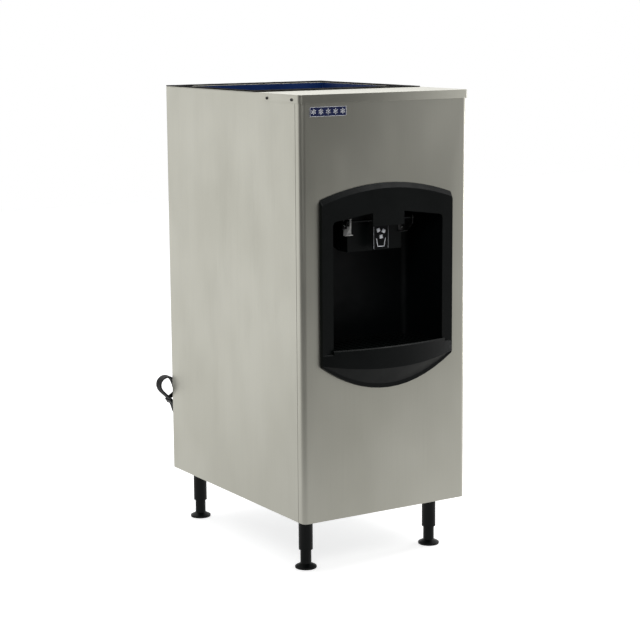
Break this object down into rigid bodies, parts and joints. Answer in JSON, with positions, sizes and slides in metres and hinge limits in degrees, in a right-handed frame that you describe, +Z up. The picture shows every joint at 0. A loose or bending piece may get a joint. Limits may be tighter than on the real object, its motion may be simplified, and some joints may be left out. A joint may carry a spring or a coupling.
{
  "type": "ice dispensing bin",
  "caption": "Floor-standing insulated ice bin in a steel cabinet, with a push lever under an arched fascia that opens a chute gate and a feed wheel inside an open-topped hopper.",
  "frame": {"origin": "on the floor, under the middle of the object's box measured without its power cord", "axes": "+X to the object's right as seen from its front, +Y from the front to the back, +Z up"},
  "size_m": [0.5974, 0.8936, 1.3564],
  "materials": {
    "panel_steel": "vertically brushed stainless steel",
    "galvanised_sheet": "dull galvanised sheet",
    "fastener_steel": "plain bright steel",
    "gasket": "black closed-cell foam strip, modelled as light fabric",
    "blue_liner": "smooth moulded polyethylene",
    "insulation_foam": "rigid insulating foam",
    "grey_plastic": "moulded plastic",
    "gearbox_iron": "grey painted casting",
    "motor_paint": "black enamel",
    "black_plastic": "black moulded plastic with a soft sheen",
    "recess_plastic": "smooth moulded plastic, nearly black",
    "badge": "plain navy plate with a pale border",
    "lever_label": "plain plate with a pictogram",
    "white_pipe": "pale plastic pipe",
    "drain_hose": "pale flexible hose",
    "cord_rubber": "black rubber sheath"
  },
  "bodies": {
    "cabinet": {"left_side_panel": "panel_steel", "right_side_panel": "panel_steel", "front_panel": "panel_steel", "top_front_cap": "panel_steel", "rim_flange": "panel_steel", "back_panel": "galvanised_sheet", "base_pan": "galvanised_sheet", "motor_bracket": "galvanised_sheet", "front_hopper_stand": "galvanised_sheet", "rear_hopper_stand": "galvanised_sheet", "control_cover": "galvanised_sheet", "left_front_trim_screw": "fastener_steel", "left_rear_trim_screw": "fastener_steel", "right_front_trim_screw": "fastener_steel", "right_rear_trim_screw": "fastener_steel", "left_lever_bracket": "fastener_steel", "right_lever_bracket": "fastener_steel", "lever_return_spring": "fastener_steel", "rim_gasket": "gasket", "bin_liner": "blue_liner", "bin_insulation": "insulation_foam", "shaft_end_bearing": "grey_plastic", "hopper_drain_fitting": "grey_plastic", "drain_clip": "grey_plastic", "gearbox": "gearbox_iron", "drive_motor": "motor_paint", "ice_chute": "black_plastic", "gate_actuator": "black_plastic", "lever_switch": "black_plastic", "fascia": "black_plastic", "drip_tray": "black_plastic", "rocker_bezel": "black_plastic", "front_left_leg": "black_plastic", "front_right_leg": "black_plastic", "rear_left_leg": "black_plastic", "rear_right_leg": "black_plastic", "cord_anchor": "black_plastic", "cord_tie": "black_plastic", "recess_liner": "recess_plastic", "badge_plate": "badge", "drain_manifold": "white_pipe", "tray_drain_hose": "drain_hose", "hopper_drain_hose": "drain_hose", "cord_gland": "cord_rubber", "power_cord": "cord_rubber", "power_plug": "cord_rubber"},
    "lever": {"push_lever": "black_plastic", "lever_label_plate": "lever_label"},
    "gate": {"chute_gate": "fastener_steel"},
    "plunger": {"switch_plunger": "grey_plastic"},
    "feed": {"drive_shaft": "fastener_steel", "feed_wheel": "grey_plastic", "agitator": "fastener_steel"},
    "grille": {"drip_grille": "black_plastic"},
    "rocker": {"power_rocker": "black_plastic"},
    "front_left_foot": {"front_left_foot": "black_plastic"},
    "front_right_foot": {"front_right_foot": "black_plastic"},
    "rear_left_foot": {"rear_left_foot": "black_plastic"},
    "rear_right_foot": {"rear_right_foot": "black_plastic"}
  },
  "joints": [
    {"name": "push_lever_hinge", "type": "hinge", "parent": "cabinet", "child": "lever", "pos_m": [0, -0.352, 0.997], "axis": [1, 0, 0], "range_deg": [0, 18], "stiffness_Nm_per_rad": 0.5, "springref_deg": -28.65, "deforming": ["lever_return_spring"]},
    {"name": "chute_gate_hinge", "type": "hinge", "parent": "cabinet", "child": "gate", "pos_m": [0, -0.278, 0.9135], "axis": [1, 0, 0], "range_deg": [0, 63]},
    {"name": "switch_plunger_slide", "type": "slide", "parent": "cabinet", "child": "plunger", "axis": [0, 1, 0], "range_m": [0, 0.0038]},
    {"name": "feed_wheel_spin", "type": "hinge", "parent": "cabinet", "child": "feed", "pos_m": [0, -0.058, 0.835], "axis": [0, 1, 0], "continuous": true},
    {"name": "drip_grille_lift", "type": "slide", "parent": "cabinet", "child": "grille", "axis": [0, 0, 1], "range_m": [0, 0.06]},
    {"name": "power_rocker_hinge", "type": "hinge", "parent": "cabinet", "child": "rocker", "pos_m": [-0.03, 0.4, 0.42], "axis": [1, 0, 0], "range_deg": [0, 24]},
    {"name": "front_left_foot_screw", "type": "slide", "parent": "cabinet", "child": "front_left_foot", "axis": [0, 0, 1], "range_m": [-0.025, 0.028]},
    {"name": "front_right_foot_screw", "type": "slide", "parent": "cabinet", "child": "front_right_foot", "axis": [0, 0, 1], "range_m": [-0.025, 0.028]},
    {"name": "rear_left_foot_screw", "type": "slide", "parent": "cabinet", "child": "rear_left_foot", "axis": [0, 0, 1], "range_m": [-0.025, 0.028]},
    {"name": "rear_right_foot_screw", "type": "slide", "parent": "cabinet", "child": "rear_right_foot", "axis": [0, 0, 1], "range_m": [-0.025, 0.028]}
  ],
  "couplings": [
    {"joint": "chute_gate_hinge", "follows": "push_lever_hinge", "ratio": 3.5},
    {"joint": "switch_plunger_slide", "follows": "push_lever_hinge", "m_per_rad": 0.012}
  ]
}
